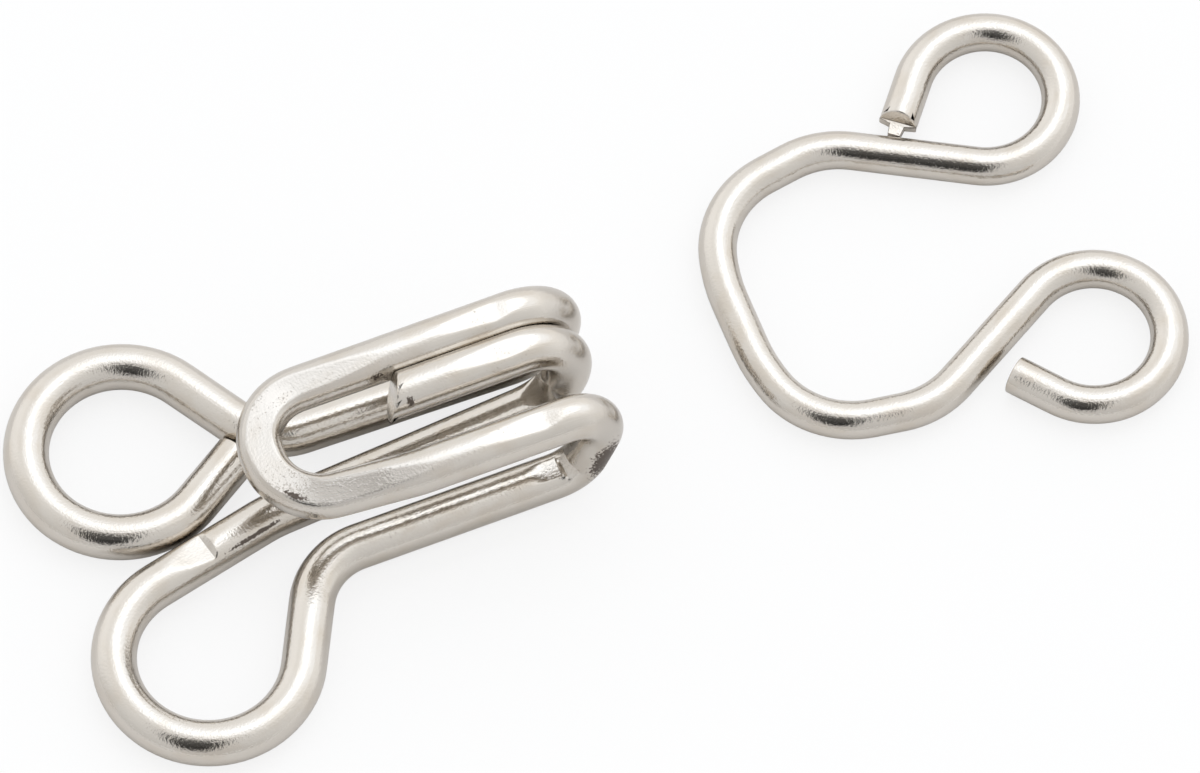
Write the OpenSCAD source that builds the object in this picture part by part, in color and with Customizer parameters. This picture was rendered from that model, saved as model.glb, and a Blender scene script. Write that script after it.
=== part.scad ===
// A sewing hook and its eye, each bent from one length of plated round wire.
// Both lie flat with X from the hook's sewing loops to its bends, Y across and Z up.
// The origin is on the surface they lie on, at the middle of the pair.

/* [Hook wire] */
// Diameter of the hook's wire
hook_wire_d = 1; // [0.8:0.05:1.2]
// Clearance kept where two strands of the hook lie side by side
strand_gap = 0.06; // [0.04:0.01:0.12]
// Bevel left round each cut end of wire
cut_bevel = 0.08; // [0.03:0.01:0.12]

/* [Hook base] */
// Bore of each of the hook's sewing loops
hook_loop_bore = 3.12; // [2.6:0.05:3.6]
// Distance from the middle of the loops to the necks where the legs begin
neck_reach = 3; // [2.8:0.05:3.4]
// Radius of the wire's centreline round each neck
neck_bend_r = 1.6; // [1.2:0.05:2]
// Radius of the wire's centreline where the middle strand straightens
inner_bend_r = 3.2; // [2:0.1:4]
// Distance from the middle of the loops to the wire's centreline at the bends
bend_reach = 9.62; // [9:0.05:11]
// How far the far leg stands out from its bill strand at the neck
far_leg_splay = 0.16; // [0:0.01:0.25]
// How far the near leg stands out from its bill strand
near_leg_splay = 0.08; // [0:0.01:0.2]
// How far the middle strand's base lies from under its bill
middle_splay = 0.16; // [0:0.01:0.3]
// Slope of the middle strand where it leaves the near loop, in degrees
inner_strand_slope = 12.5; // [8:0.5:16]

/* [Bill] */
// Clear height between the legs and the bill, where the eye goes in
throat_h = 1.4; // [1.1:0.05:1.8]
// Clear width inside the bill's nose
bill_inner_w = 1.83; // [1.75:0.05:2.2]
// Sideways shift of the bill from the middle of the hook
bill_shift = 0.12; // [0:0.01:0.2]
// Length of the bill along its outer strands, from the bends to the nose
bill_len = 7.2; // [6.4:0.05:7.6]
// Length of the bill's middle strand, from the bend to its cut end
middle_strand_len = 4.17; // [3.4:0.05:5]
// How far the near strand leans in towards the nose
nose_lean = 0.26; // [0:0.02:0.32]
// Length of the near strand over which it leans in
lean_len = 3; // [2:0.1:3.4]
// Depth that the top of the nose is pressed flat
nose_press = 0.1; // [0.04:0.01:0.2]
// Width that the pressing adds to each side of the wire
nose_spread = 0.06; // [0:0.01:0.1]
// Length from the nose over which the pressing fades away
press_len = 3.8; // [2.5:0.1:4.5]
// How far the far bend stands out past the others
far_bend_step = 0.15; // [0:0.05:0.3]

/* [Eye] */
// Diameter of the eye's wire
eye_wire_d = 0.84; // [0.7:0.02:1]
// Bore of each of the eye's sewing loops
eye_loop_bore = 2.46; // [2.2:0.05:3]
// Clearance between the far loop's cut end and the arm beside it
far_tail_gap = 0.2; // [0.1:0.01:0.6]
// Clearance between the near loop's cut end and the arm beside it
near_tail_gap = 0.38; // [0.1:0.01:0.6]
// Greatest clear width inside the arch that the hook catches
arch_inner_w = 5.78; // [5.2:0.05:6.6]
// Distance from the top of the arch to its widest place
arch_depth = 3.2; // [2.8:0.05:3.8]
// Distance from the top of the arch to the middle of the sewing loops
eye_reach = 7.04; // [6.6:0.05:7.8]
// Distance between the middles of the two sewing loops
eye_loop_pitch = 6.25; // [6.2:0.05:7]
// Turn of each loop past the direction across the eye, in degrees
eye_loop_turn = 51; // [40:1:58]

/* [Lying place] */
// Clear distance from the hook's bends to the top of the arch
eye_apart = 2.97; // [1:0.05:6]
// Sideways place of the eye's middle line from the hook's middle line
eye_shift = 0.59; // [-2:0.05:2]

/* [Hidden] */

// Flat sides round the wire
SIDES = 16;
// Greatest turn from one ring to the next, in degrees
TURN_STEP = 10;
// Greatest length from one ring to the next along a straight
STRAIGHT_STEP = 1.5;
// Bends that make up one sewing loop
LOOP_BENDS = 4;
// Points nearer than this are taken as one
SAME_POINT = 0.005;
// Trim that keeps two bends which share a straight from overlapping
TINY = 0.0001;
PLATE = "gainsboro";

// Wire radii and the loops' centreline radii
hook_r = hook_wire_d / 2;
eye_r = eye_wire_d / 2;
hook_loop_r = (hook_loop_bore + hook_wire_d) / 2;
eye_loop_r = (eye_loop_bore + eye_wire_d) / 2;

// Strand places across the hook, from its middle line
// The loops stand apart so that the middle strand just passes between them.
hook_loop_y = (hook_loop_r + hook_r + strand_gap / 2) / cos(inner_strand_slope);
bill_half = (bill_inner_w + hook_wire_d) / 2;
far_bill_y = bill_shift + bill_half;
near_bill_y = bill_shift - bill_half;
far_leg_y = far_bill_y + far_leg_splay;
near_leg_y = near_bill_y - near_leg_splay;
middle_bill_y = far_bill_y - hook_wire_d - strand_gap;

// Heights of the wire's centreline on the surface and in the bill
rise = throat_h + hook_wire_d;
low_z = hook_r;
high_z = hook_r + rise;
rise_r = rise / 2 - TINY;

// Places along X, from the middle of the hook's loops
nose_x = bend_reach - bill_len;
nose_r = bill_half - nose_lean / 2 - TINY;
middle_end_x = bend_reach - middle_strand_len;
eye_top_x = bend_reach + far_bend_step + hook_r + eye_apart + eye_r;
eye_loop_x = eye_top_x + eye_reach;

// Box of the pair, which puts the origin at the middle of its foot
box_x0 = -hook_loop_r - hook_r;
box_x1 = eye_loop_x + eye_loop_r + eye_r;
hook_half_w = hook_loop_y + hook_loop_r + hook_r;
eye_half_w = eye_loop_pitch / 2 + eye_loop_r + eye_r;
box_y0 = min(-hook_half_w, eye_shift - eye_half_w);
box_y1 = max(hook_half_w, eye_shift + eye_half_w);
mid_x = (box_x0 + box_x1) / 2;
mid_y = (box_y0 + box_y1) / 2;

// Small vector helpers
function unit(v) = v / norm(v);
function at_angle(a) = [cos(a), sin(a), 0];
function on_circle(c, r, a) = c + r * at_angle(a);

// Direction of v in the plane, from 0 to 360 degrees
function bearing(v) = (atan2(v.y, v.x) + 360) % 360;

// Angle on a circle round c at which the tangent through a point p touches it.
// A side of 1 gives the touch that lies anticlockwise of p, and -1 the other.
function touch_angle(c, r, p, side) =
    bearing(p - c) + side * acos(r / norm([p.x - c.x, p.y - c.y]));

// A bend in the wire: the corner where its straights would meet, and its radius
function bend(p, r) = [p, r];

// Length of a straight tail that leaves a loop square to the radius at angle a,
// so that its cut end stops clear of the straight that touches the loop at angle t
function tail_length(loop_r, wire_r, a, t, clear) =
    let (
        along = at_angle(a + 90),
        away = at_angle(t),
        closing = along * away,
        start_gap = loop_r * (1 - at_angle(a) * away),
        corner_reach = wire_r * sqrt(1 - closing * closing)
    )
    (start_gap - wire_r - clear - corner_reach) / closing;

// Bends that carry the wire round a loop of radius r, from angle a0 to a1
function loop_bends(c, r, a0, a1) =
    let (half = (a1 - a0) / (2 * LOOP_BENDS))
    [for (i = [0 : LOOP_BENDS - 1])
        bend(on_circle(c, r / cos(half), a0 + (2 * i + 1) * half), r)];

// Points of one rounded corner b between its neighbours a and c
function corner_points(a, b, c) =
    let (
        back = unit(a[0] - b[0]),
        ahead = unit(c[0] - b[0]),
        turn = 180 - acos(max(-1, min(1, back * ahead))),
        reach = b[1] * tan(turn / 2),
        centre = b[0] + unit(back + ahead) * b[1] / cos(turn / 2),
        out = (b[0] + back * reach - centre) / b[1],
        steps = max(1, ceil(turn / TURN_STEP))
    )
    [for (i = [0 : steps])
        let (t = turn * i / steps)
        centre + b[1] * (cos(t) * out - sin(t) * back)];

// The wire's whole centreline, with a straight to its first and last bends
function centreline(bends) =
    let (last = len(bends) - 1)
    concat(
        [bends[0][0]],
        [for (i = [1 : last - 1])
            each corner_points(bends[i - 1], bends[i], bends[i + 1])],
        [bends[last][0]]
    );

// The same points with those dropped that fall on the one before
function apart(points) =
    [for (i = [0 : len(points) - 1])
        if (i == 0 || norm(points[i] - points[i - 1]) > SAME_POINT) points[i]];

// Long straights divided into even steps
function stepped(points) = [
    points[0],
    for (i = [1 : len(points) - 1])
        let (
            run = points[i] - points[i - 1],
            steps = max(1, ceil(norm(run) / STRAIGHT_STEP))
        )
        for (k = [1 : steps]) points[i - 1] + run * k / steps
];

// The centreline of a wire with these bends, ready for its rings
function wire_path(bends) = stepped(apart(centreline(bends)));

// Direction of the wire at point i
function heading(points, i) =
    i == 0 ? unit(points[1] - points[0]) :
    i == len(points) - 1 ? unit(points[i] - points[i - 1]) :
    unit(unit(points[i + 1] - points[i]) + unit(points[i] - points[i - 1]));

// A side direction carried from one ring to the next without twist
function carried(side, along) = unit(side - (side * along) * along);

function headings(points) = [for (i = [0 : len(points) - 1]) heading(points, i)];

// The side direction at every ring, carried on from the first one
function sides_along(tangents, first) =
    [for (i = 0, s = carried(first, tangents[0]);
          i < len(tangents);
          i = i + 1, s = i < len(tangents) ? carried(s, tangents[i]) : s) s];

// Share of the pressing at a point of the hook's wire: all of it round the nose,
// and none past press_len or below the bill
function pressing(p) =
    p.z < high_z - TINY ? 0 :
    let (t = max(0, min(1, (p.x - nose_x) / press_len)))
    1 - t * t * (3 - 2 * t);

// One ring of wire of radius r, pressed flat and spread by a share of the pressing
function ring(p, along, side, r, share) =
    let (
        up = cross(along, side),
        top = p.z + r - nose_press * share,
        half_w = r + nose_spread * share
    )
    [for (k = [0 : SIDES - 1])
        let (
            a = 360 * k / SIDES,
            q = p + half_w * cos(a) * side + r * sin(a) * up
        )
        [q.x, q.y, share > 0 ? min(q.z, top) : q.z]];

// Faces of a tube of n rings, with both ends closed
function tube_faces(n) = concat(
    [[for (k = [0 : SIDES - 1]) k]],
    [[for (k = [SIDES - 1 : -1 : 0]) (n - 1) * SIDES + k]],
    [for (i = [0 : n - 2], k = [0 : SIDES - 1])
        let (a = i * SIDES + k, b = i * SIDES + (k + 1) % SIDES)
        [a, a + SIDES, b]],
    [for (i = [0 : n - 2], k = [0 : SIDES - 1])
        let (a = i * SIDES + k, b = i * SIDES + (k + 1) % SIDES)
        [b, a + SIDES, b + SIDES]]
);

// A wire of radius r along a centreline, with bevelled ends. A pressed wire
// takes its share of the pressing at each point.
module wire(points, r, pressed = false) {
    last = len(points) - 1;
    tangents = headings(points);
    sides = sides_along(tangents, [0, 1, 0]);
    first_bevel = points[0] + cut_bevel * tangents[0];
    last_bevel = points[last] - cut_bevel * tangents[last];
    rings = concat(
        [ring(points[0], tangents[0], sides[0], r - cut_bevel, 0)],
        [ring(first_bevel, tangents[0], sides[0], r, 0)],
        [for (i = [1 : last - 1])
            ring(points[i], tangents[i], sides[i], r, pressed ? pressing(points[i]) : 0)],
        [ring(last_bevel, tangents[last], sides[last], r, 0)],
        [ring(points[last], tangents[last], sides[last], r - cut_bevel, 0)]
    );
    polyhedron(points = [for (g = rings) each g], faces = tube_faces(len(rings)));
}

// Middles of the hook's two sewing loops, and the corners of its necks
far_loop = [0, hook_loop_y, low_z];
near_loop = [0, -hook_loop_y, low_z];
far_neck = [neck_reach, far_leg_y, low_z];
near_neck = [neck_reach, near_leg_y, low_z];

// Angle at which the straight of each neck touches its loop
far_touch = touch_angle(far_loop, hook_loop_r, far_neck, 1);
near_touch = touch_angle(near_loop, hook_loop_r, near_neck, -1);

// The far loop turns until its tail stands square to the straight it started from
far_tail_angle = far_touch + 270;
far_tail_len = tail_length(hook_loop_r, hook_r, far_tail_angle, far_touch, strand_gap);
far_tail_end = on_circle(far_loop, hook_loop_r, far_tail_angle)
    + far_tail_len * at_angle(far_tail_angle + 90);

// The near loop turns until it meets the middle strand's slope
near_end_angle = 90 + inner_strand_slope;
inner_start = on_circle(near_loop, hook_loop_r, near_end_angle);
inner_run = -inner_start.y / sin(inner_strand_slope);
inner_corner = inner_start + inner_run * at_angle(inner_strand_slope);

// The hook's wire from the middle strand's cut end to the far loop's
far_bend_x = bend_reach + far_bend_step;
hook_bends = [
    bend([middle_end_x, middle_bill_y, high_z], 0),
    bend([bend_reach, middle_bill_y, high_z], rise_r),
    bend([bend_reach, middle_bill_y - middle_splay, low_z], rise_r),
    bend(inner_corner, inner_bend_r),
    each loop_bends(near_loop, hook_loop_r, near_end_angle, near_touch + 360),
    bend(near_neck, neck_bend_r),
    bend([bend_reach, near_leg_y, low_z], rise_r),
    bend([bend_reach, near_bill_y, high_z], rise_r),
    bend([nose_x + lean_len, near_bill_y, high_z], lean_len),
    bend([nose_x, near_bill_y + nose_lean, high_z], nose_r),
    bend([nose_x, far_bill_y, high_z], nose_r),
    bend([far_bend_x, far_bill_y, high_z], rise_r),
    bend([far_bend_x, far_bill_y, low_z], rise_r),
    bend(far_neck, neck_bend_r),
    each loop_bends(far_loop, hook_loop_r, far_touch, far_tail_angle),
    bend(far_tail_end, 0)
];

// Corners of half of the arch, as shares of its depth and of its half width,
// and each bend's radius as a share of that half width
ARCH_ALONG = 0;
ARCH_ACROSS = 1;
ARCH_RADIUS = 2;
ARCH = [
    [0, 0.313, 1.16],
    [0.14, 0.894, 0.63],
    [1, 1.025, 0.63]
];
arch_half = (arch_inner_w + eye_wire_d) / 2;

function arch_bend(row) = bend(
    [row[ARCH_ALONG] * arch_depth, row[ARCH_ACROSS] * arch_half, eye_r],
    row[ARCH_RADIUS] * arch_half
);

// The eye's loop, the angle at which the arm touches it, and its cut end.
// The loop makes one whole turn and eye_loop_turn more past the way across.
eye_loop = [eye_reach, eye_loop_pitch / 2, eye_r];
arch_corner = arch_bend(ARCH[2])[0];
eye_touch = touch_angle(eye_loop, eye_loop_r, arch_corner, 1);
across_angle = 90;
eye_tail_angle = 360 + across_angle + eye_loop_turn;
function eye_tail_end(gap) =
    on_circle(eye_loop, eye_loop_r, eye_tail_angle)
    + tail_length(eye_loop_r, eye_r, eye_tail_angle, eye_touch, gap)
        * at_angle(eye_tail_angle + 90);

// Bends of half of the eye, from the arch to a cut end that stops clear of its arm
function half_eye_bends(gap) = [
    for (row = ARCH) arch_bend(row),
    each loop_bends(eye_loop, eye_loop_r, eye_touch, eye_tail_angle),
    bend(eye_tail_end(gap), 0)
];

// A bend mirrored across the eye's middle line
function mirrored(b) = bend([b[0].x, -b[0].y, b[0].z], b[1]);

// The eye's wire from the near loop's cut end to the far loop's
near_half = half_eye_bends(near_tail_gap);
eye_bends = concat(
    [for (i = [len(near_half) - 1 : -1 : 0]) mirrored(near_half[i])],
    half_eye_bends(far_tail_gap)
);

module hook() {
    color(PLATE)
        translate([-mid_x, -mid_y, 0])
            wire(wire_path(hook_bends), hook_r, pressed = true);
}

module eye() {
    color(PLATE)
        translate([eye_top_x - mid_x, eye_shift - mid_y, 0])
            wire(wire_path(eye_bends), eye_r);
}

hook();
eye();
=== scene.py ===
"""The looks of a hook and eye clasp: two bent wires under bright nickel plate.

Sizes are in millimetres and become metres where a mesh is made. X runs from the
hook's sewing loops to the eye's, Y across the pair, and Z up from the surface
that the pair lies on.
"""

import logging
import math
from abc import ABC, abstractmethod
from contextlib import contextmanager
from dataclasses import dataclass, field, replace
from enum import Enum
from functools import cached_property
from typing import Iterator, Self, Sequence

import bpy
import numpy as np
from mathutils import Matrix, Vector


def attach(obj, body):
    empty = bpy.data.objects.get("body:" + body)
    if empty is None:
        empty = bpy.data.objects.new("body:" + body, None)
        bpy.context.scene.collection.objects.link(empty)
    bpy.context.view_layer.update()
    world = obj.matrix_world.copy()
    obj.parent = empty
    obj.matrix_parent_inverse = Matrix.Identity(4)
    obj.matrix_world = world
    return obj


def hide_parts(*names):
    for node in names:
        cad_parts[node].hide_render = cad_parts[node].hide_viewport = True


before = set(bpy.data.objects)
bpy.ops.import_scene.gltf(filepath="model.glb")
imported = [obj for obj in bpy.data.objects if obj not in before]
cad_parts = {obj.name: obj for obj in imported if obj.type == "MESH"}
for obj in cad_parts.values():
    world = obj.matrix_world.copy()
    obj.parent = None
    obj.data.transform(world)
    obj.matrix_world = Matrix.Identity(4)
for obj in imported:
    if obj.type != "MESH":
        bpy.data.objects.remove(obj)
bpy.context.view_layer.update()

MM = 0.001
UP = Vector((0, 0, 1))
WHITE = (1.0, 1.0, 1.0)
LOOP_BENDS = 4
SHARP_ANGLE = 32.0
Pair = tuple[float, float]
Triple = tuple[float, float, float]
log = logging.getLogger("clasp")


class Side(Enum):
    """Which side of a piece's middle line, seen from the front."""

    NEAR = -1
    FAR = 1


def at_angle(degrees: float) -> Vector:
    """A level direction, in degrees from +X."""
    a = math.radians(degrees)
    return Vector((math.cos(a), math.sin(a), 0))


def touch_angle(centre: Vector, radius: float, point: Vector, side: Side) -> float:
    """Finds where the tangent from a point touches a circle.

    Args:
        centre: The circle's middle.
        radius: The circle's radius.
        point: The point that the tangent passes through.
        side: FAR for the touch anticlockwise of the point, NEAR for the other.

    Returns:
        The angle of the touch on the circle, in degrees.
    """
    across = point - centre
    bearing = math.degrees(math.atan2(across.y, across.x)) % 360
    return bearing + side.value * math.degrees(math.acos(radius / across.length))


@dataclass(frozen=True)
class Bend:
    """A bend in a wire: the corner where its straights would meet, and its radius."""

    corner: Vector
    radius: float = 0.0


@dataclass(frozen=True)
class Arc:
    """A bend's round part: its ends, its middle, its axis and its turn in radians."""

    start: Vector
    end: Vector
    centre: Vector
    axis: Vector
    turn: float

    @classmethod
    def at(cls, before: Bend, bend: Bend, after: Bend) -> "Arc":
        """Rounds one corner between its neighbours.

        Args:
            before: The bend before it.
            bend: The bend to round.
            after: The bend after it.

        Returns:
            The arc that touches both straights.
        """
        back = (before.corner - bend.corner).normalized()
        ahead = (after.corner - bend.corner).normalized()
        turn = math.pi - back.angle(ahead)
        reach = bend.radius * math.tan(turn / 2)
        centre = bend.corner + (back + ahead).normalized() * bend.radius / math.cos(turn / 2)
        axis = (-back).cross(ahead).normalized()
        return cls(bend.corner + back * reach, bend.corner + ahead * reach, centre, axis, turn)


def loop_bends(centre: Vector, radius: float, start: float, end: float) -> list[Bend]:
    """Carries a wire round a sewing loop.

    Args:
        centre: The loop's middle.
        radius: The radius of the wire's centreline.
        start: The angle at which the wire comes on, in degrees.
        end: The angle at which it leaves, in degrees.

    Returns:
        The bends that make up the loop.
    """
    half = (end - start) / (2 * LOOP_BENDS)
    reach = radius / math.cos(math.radians(half))
    corners = (centre + reach * at_angle(start + (2 * i + 1) * half) for i in range(LOOP_BENDS))
    return [Bend(corner, radius) for corner in corners]


def tail_length(loop_r: float, wire_r: float, leave: float, touch: float, clear: float) -> float:
    """Length of the straight tail that closes a loop.

    Args:
        loop_r: The radius of the loop's centreline.
        wire_r: The wire's radius.
        leave: The angle at which the tail leaves the loop, in degrees.
        touch: The angle at which the loop's own straight touches it, in degrees.
        clear: The clearance between the cut end and that straight.

    Returns:
        The tail's length.
    """
    closing = at_angle(leave + 90).dot(at_angle(touch))
    gap = loop_r * (1 - at_angle(leave).dot(at_angle(touch)))
    corner = wire_r * math.sqrt(max(0.0, 1 - closing * closing))
    return (gap - wire_r - clear - corner) / closing


def deselect_all() -> None:
    """Leaves nothing selected, the frame's own nodes included."""
    bpy.ops.object.select_all(action="DESELECT")


@contextmanager
def editing(piece: bpy.types.Object) -> Iterator[None]:
    """Keeps the active piece in edit mode, and then leaves nothing of it selected.

    Args:
        piece: The active piece.

    Yields:
        Nothing, while the piece is in edit mode.
    """
    bpy.ops.object.mode_set(mode="EDIT")
    yield
    bpy.ops.mesh.select_all(action="DESELECT")
    bpy.ops.object.mode_set(mode="OBJECT")
    piece.data.update()


def vertex_places(piece: bpy.types.Object) -> np.ndarray:
    """Reads where a piece's vertices are.

    Args:
        piece: The piece.

    Returns:
        One row per vertex, in millimetres.
    """
    places = np.empty(len(piece.data.vertices) * 3, np.float32)
    piece.data.vertices.foreach_get("co", places)
    return places.reshape(-1, 3).astype(float) / MM


def select_vertices(piece: bpy.types.Object, chosen: np.ndarray) -> None:
    """Selects vertices of one piece, and nothing else.

    Args:
        piece: The piece.
        chosen: True for each vertex to select.
    """
    deselect_all()
    piece.select_set(True)
    bpy.context.view_layer.objects.active = piece
    bpy.ops.object.mode_set(mode="EDIT")
    bpy.ops.mesh.select_mode(type="VERT")
    bpy.ops.mesh.select_all(action="DESELECT")
    bpy.ops.object.mode_set(mode="OBJECT")
    piece.data.vertices.foreach_set("select", chosen)
    bpy.ops.object.mode_set(mode="EDIT")
    bpy.ops.mesh.select_mode(type="VERT")
    bpy.ops.object.mode_set(mode="OBJECT")


def select_faces(piece: bpy.types.Object, chosen: Sequence[bool]) -> None:
    """Selects faces of one piece, and nothing else.

    Args:
        piece: The piece.
        chosen: True for each face to select.
    """
    select_vertices(piece, np.zeros(len(piece.data.vertices), bool))
    bpy.ops.object.mode_set(mode="EDIT")
    bpy.ops.mesh.select_mode(type="FACE")
    bpy.ops.object.mode_set(mode="OBJECT")
    piece.data.polygons.foreach_set("select", chosen)


def write_attribute(piece: bpy.types.Object, name: str, values: np.ndarray) -> None:
    """Stores a number or a vector at each vertex.

    Args:
        piece: The piece.
        name: The attribute's name.
        values: One number or one row of three per vertex.
    """
    kind, key = ("FLOAT", "value") if values.ndim == 1 else ("FLOAT_VECTOR", "vector")
    made = piece.data.attributes.new(name, kind, "POINT")
    made.data.foreach_set(key, values.astype(np.float32).ravel())


def smooth(t: np.ndarray) -> np.ndarray:
    """Eases 0 to 1 without a corner at either end."""
    t = np.clip(t, 0, 1)
    return t * t * (3 - 2 * t)


def between(at: np.ndarray, stops: Sequence[float], rows: Sequence[Sequence[float]]) -> np.ndarray:
    """Works out rows of numbers between those that are given.

    Args:
        at: The places to work them out at.
        stops: The places of the given rows, in order.
        rows: The given rows.

    Returns:
        One row per place.
    """
    return np.stack([np.interp(at, stops, column) for column in np.array(rows, float).T], axis=1)


@dataclass(frozen=True)
class Spot:
    """A spot on a wire: a point on the wire's middle, and the way that the spot faces."""

    at: Triple
    facing: Triple

    def moved(self, offset: Vector) -> Self:
        """The same spot on a piece that lies elsewhere."""
        return replace(self, at=tuple(Vector(self.at) + offset))


@dataclass(frozen=True)
class ToolMark(Spot):
    """A flat that a tool pressed into the wire, reaching a length back and ahead along it."""

    depth: float
    reach: Pair = (0.0, 0.0)
    satin: float = 0.0


@dataclass(frozen=True)
class PaintedShade(Spot):
    """A small dark place with ragged edges: painted shade that stands for dark reflections and shadows on the
    plate.
    """

    half_length: float
    half_width: float
    strength: float = 1.0


@dataclass
class Wire:
    """A round wire that is drawn out of a circle along its bends.

    Its rings are the distances along it at which the drawing made a ring of vertices. Its
    places have a row per vertex, as if the wire were still straight: two distances from
    the wire's middle, then one along it.
    """

    name: str
    bends: Sequence[Bend]
    diameter: float
    sides: int = 72
    straight_step: float = 0.16
    turn_step: float = 4.5
    line_step: float = 0.04
    least_straight: float = 0.005
    weld_gap: float = 0.0002
    same_point: float = 0.000001
    on_plane: float = 0.0001
    mark_fade: float = 0.03
    run_fade: float = 0.05
    shade_reach: float = 1.4
    score_half: float = 0.015
    end_corners: int = 18
    rim_segments: int = 3
    rim_profile: float = 0.6
    rings: list[float] = field(default_factory=lambda: [0.0])
    piece: bpy.types.Object = field(init=False)
    places: np.ndarray = field(init=False)

    @property
    def radius(self) -> float:
        """Half of the wire's diameter."""
        return self.diameter / 2

    def arcs(self) -> list[Arc]:
        """The round part of each bend between the two ends."""
        return [Arc.at(*three) for three in zip(self.bends, self.bends[1:], self.bends[2:])]

    def draw(self) -> None:
        """Draws the wire: a circle is extruded along the straights and spun round the bends."""
        here = self.bends[0].corner
        heading = (self.bends[1].corner - here).normalized()
        deselect_all()
        bpy.ops.mesh.primitive_circle_add(
            vertices=self.sides,
            radius=self.radius * MM,
            fill_type="NOTHING",
            location=here * MM,
            rotation=heading.to_track_quat("Z", "Y").to_euler(),
        )
        self.piece = bpy.context.object
        self.piece.name = self.piece.data.name = self.name
        bpy.ops.object.transform_apply(location=True, rotation=True, scale=True)
        with editing(self.piece):
            bpy.ops.mesh.select_mode(type="VERT")
            bpy.ops.mesh.select_all(action="SELECT")
            for arc in self.arcs():
                self.draw_straight(here, arc.start)
                self.draw_bend(arc)
                here = arc.end
            self.draw_straight(here, self.bends[-1].corner)
            bpy.ops.mesh.select_all(action="SELECT")
            bpy.ops.mesh.remove_doubles(threshold=self.weld_gap * MM)
            bpy.ops.mesh.select_all(action="DESELECT")
            bpy.ops.mesh.select_mode(type="EDGE")
            bpy.ops.mesh.select_non_manifold()
            bpy.ops.mesh.fill_holes(sides=0)
            bpy.ops.mesh.select_all(action="SELECT")
            bpy.ops.mesh.normals_make_consistent(inside=False)
        write_attribute(self.piece, "run", np.repeat(self.rings, self.sides))

    def draw_straight(self, start: Vector, end: Vector) -> None:
        """Extrudes the wire's open end along a straight.

        Args:
            start: Where the straight starts.
            end: Where it ends.
        """
        run = end - start
        if run.length < self.least_straight:
            return
        steps = max(1, round(run.length / self.straight_step))
        for _ in range(steps):
            bpy.ops.mesh.extrude_region_move(TRANSFORM_OT_translate={"value": run * MM / steps})
            self.rings.append(self.rings[-1] + run.length / steps)

    def draw_bend(self, arc: Arc) -> None:
        """Spins the wire's open end round a bend; with no window, spin turns left-handed.

        Args:
            arc: The bend's round part.
        """
        steps = max(1, math.ceil(math.degrees(arc.turn) / self.turn_step))
        bpy.ops.mesh.spin(
            steps=steps,
            dupli=False,
            angle=-arc.turn,
            center=arc.centre * MM,
            axis=arc.axis,
        )
        length = (arc.start - arc.centre).length * arc.turn
        self.rings += list(self.rings[-1] + length * np.arange(1, steps + 1) / steps)

    @cached_property
    def line(self) -> np.ndarray:
        """Lays points along the middle of the wire, a line step apart.

        Returns:
            One row per point.
        """
        points = [self.bends[0].corner]
        for arc in self.arcs():
            points.append(arc.start)
            spoke = arc.start - arc.centre
            steps = max(1, math.ceil(spoke.length * arc.turn / self.line_step))
            turns = (Matrix.Rotation(arc.turn * k / steps, 3, arc.axis) for k in range(1, steps + 1))
            points += [arc.centre + turn @ spoke for turn in turns]
        points.append(self.bends[-1].corner)
        corners = np.array([tuple(p) for p in points])
        lengths = np.linalg.norm(np.diff(corners, axis=0), axis=1)
        apart = lengths > self.same_point
        along = np.r_[0, np.cumsum(lengths[apart])]
        places = np.linspace(0, along[-1], round(along[-1] / self.line_step) + 1)
        return between(places, along, corners[np.r_[True, apart]])

    @property
    def step(self) -> float:
        """The exact length between two points of the line."""
        return float(np.linalg.norm(self.line[1] - self.line[0]))

    def nearest(self, at: Sequence[float]) -> int:
        """Which point of the line lies nearest to a point."""
        return int(np.argmin(np.linalg.norm(self.line - np.array(at), axis=1)))

    def along(self, at: Sequence[float]) -> float:
        """How far along the wire a point lies."""
        return self.nearest(at) * self.step

    def middles(self) -> np.ndarray:
        """The point of the wire's middle that each vertex lies round."""
        return between(self.places[:, 2], np.arange(len(self.line)) * self.step, self.line)

    def measure(self) -> None:
        """Works out the places of the vertices that the wire now has."""
        line = self.line
        heading = np.gradient(line, axis=0)
        heading /= np.linalg.norm(heading, axis=1)[:, None]
        side = np.zeros_like(line)
        carried = np.array([0.0, 1.0, 0.0])
        for i, ahead in enumerate(heading):
            carried = carried - carried.dot(ahead) * ahead
            carried /= np.linalg.norm(carried)
            side[i] = carried
        above = np.cross(heading, side)
        run = np.empty(len(self.piece.data.vertices), np.float32)
        self.piece.data.attributes["run"].data.foreach_get("value", run)
        near = np.clip(np.rint(run / self.step).astype(int), 0, len(line) - 1)
        off = vertex_places(self.piece) - line[near]
        across, over, along = ((off * way[near]).sum(axis=1) for way in (side, above, heading))
        self.places = np.stack([across, over, near * self.step + along], axis=1)

    def cut(self, at: Vector, facing: Vector, take_off: bool = False) -> None:
        """Cuts the wire's faces along a plane.

        Args:
            at: A point on the plane, near the wire's middle.
            facing: The way that the plane faces.
            take_off: True to take off what lies in front of the plane, and close the end.
        """
        self.measure()
        near = np.abs(self.places[:, 2] - self.along(at)) < self.diameter
        select_faces(self.piece, [all(near[v] for v in face.vertices) for face in self.piece.data.polygons])
        with editing(self.piece):
            bpy.ops.mesh.bisect(
                plane_co=at * MM,
                plane_no=facing,
                use_fill=take_off,
                clear_outer=take_off,
                threshold=self.on_plane * MM,
            )

    def score(self, at: Vector) -> None:
        """Adds two rings of edges close together, so that a flat can end sharply there.

        Args:
            at: A point near the wire's middle.
        """
        place = self.nearest(at)
        heading = Vector(self.line[place + 1] - self.line[place]).normalized()
        for shift in (-self.score_half, self.score_half):
            self.cut(at + heading * shift, heading)

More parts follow.
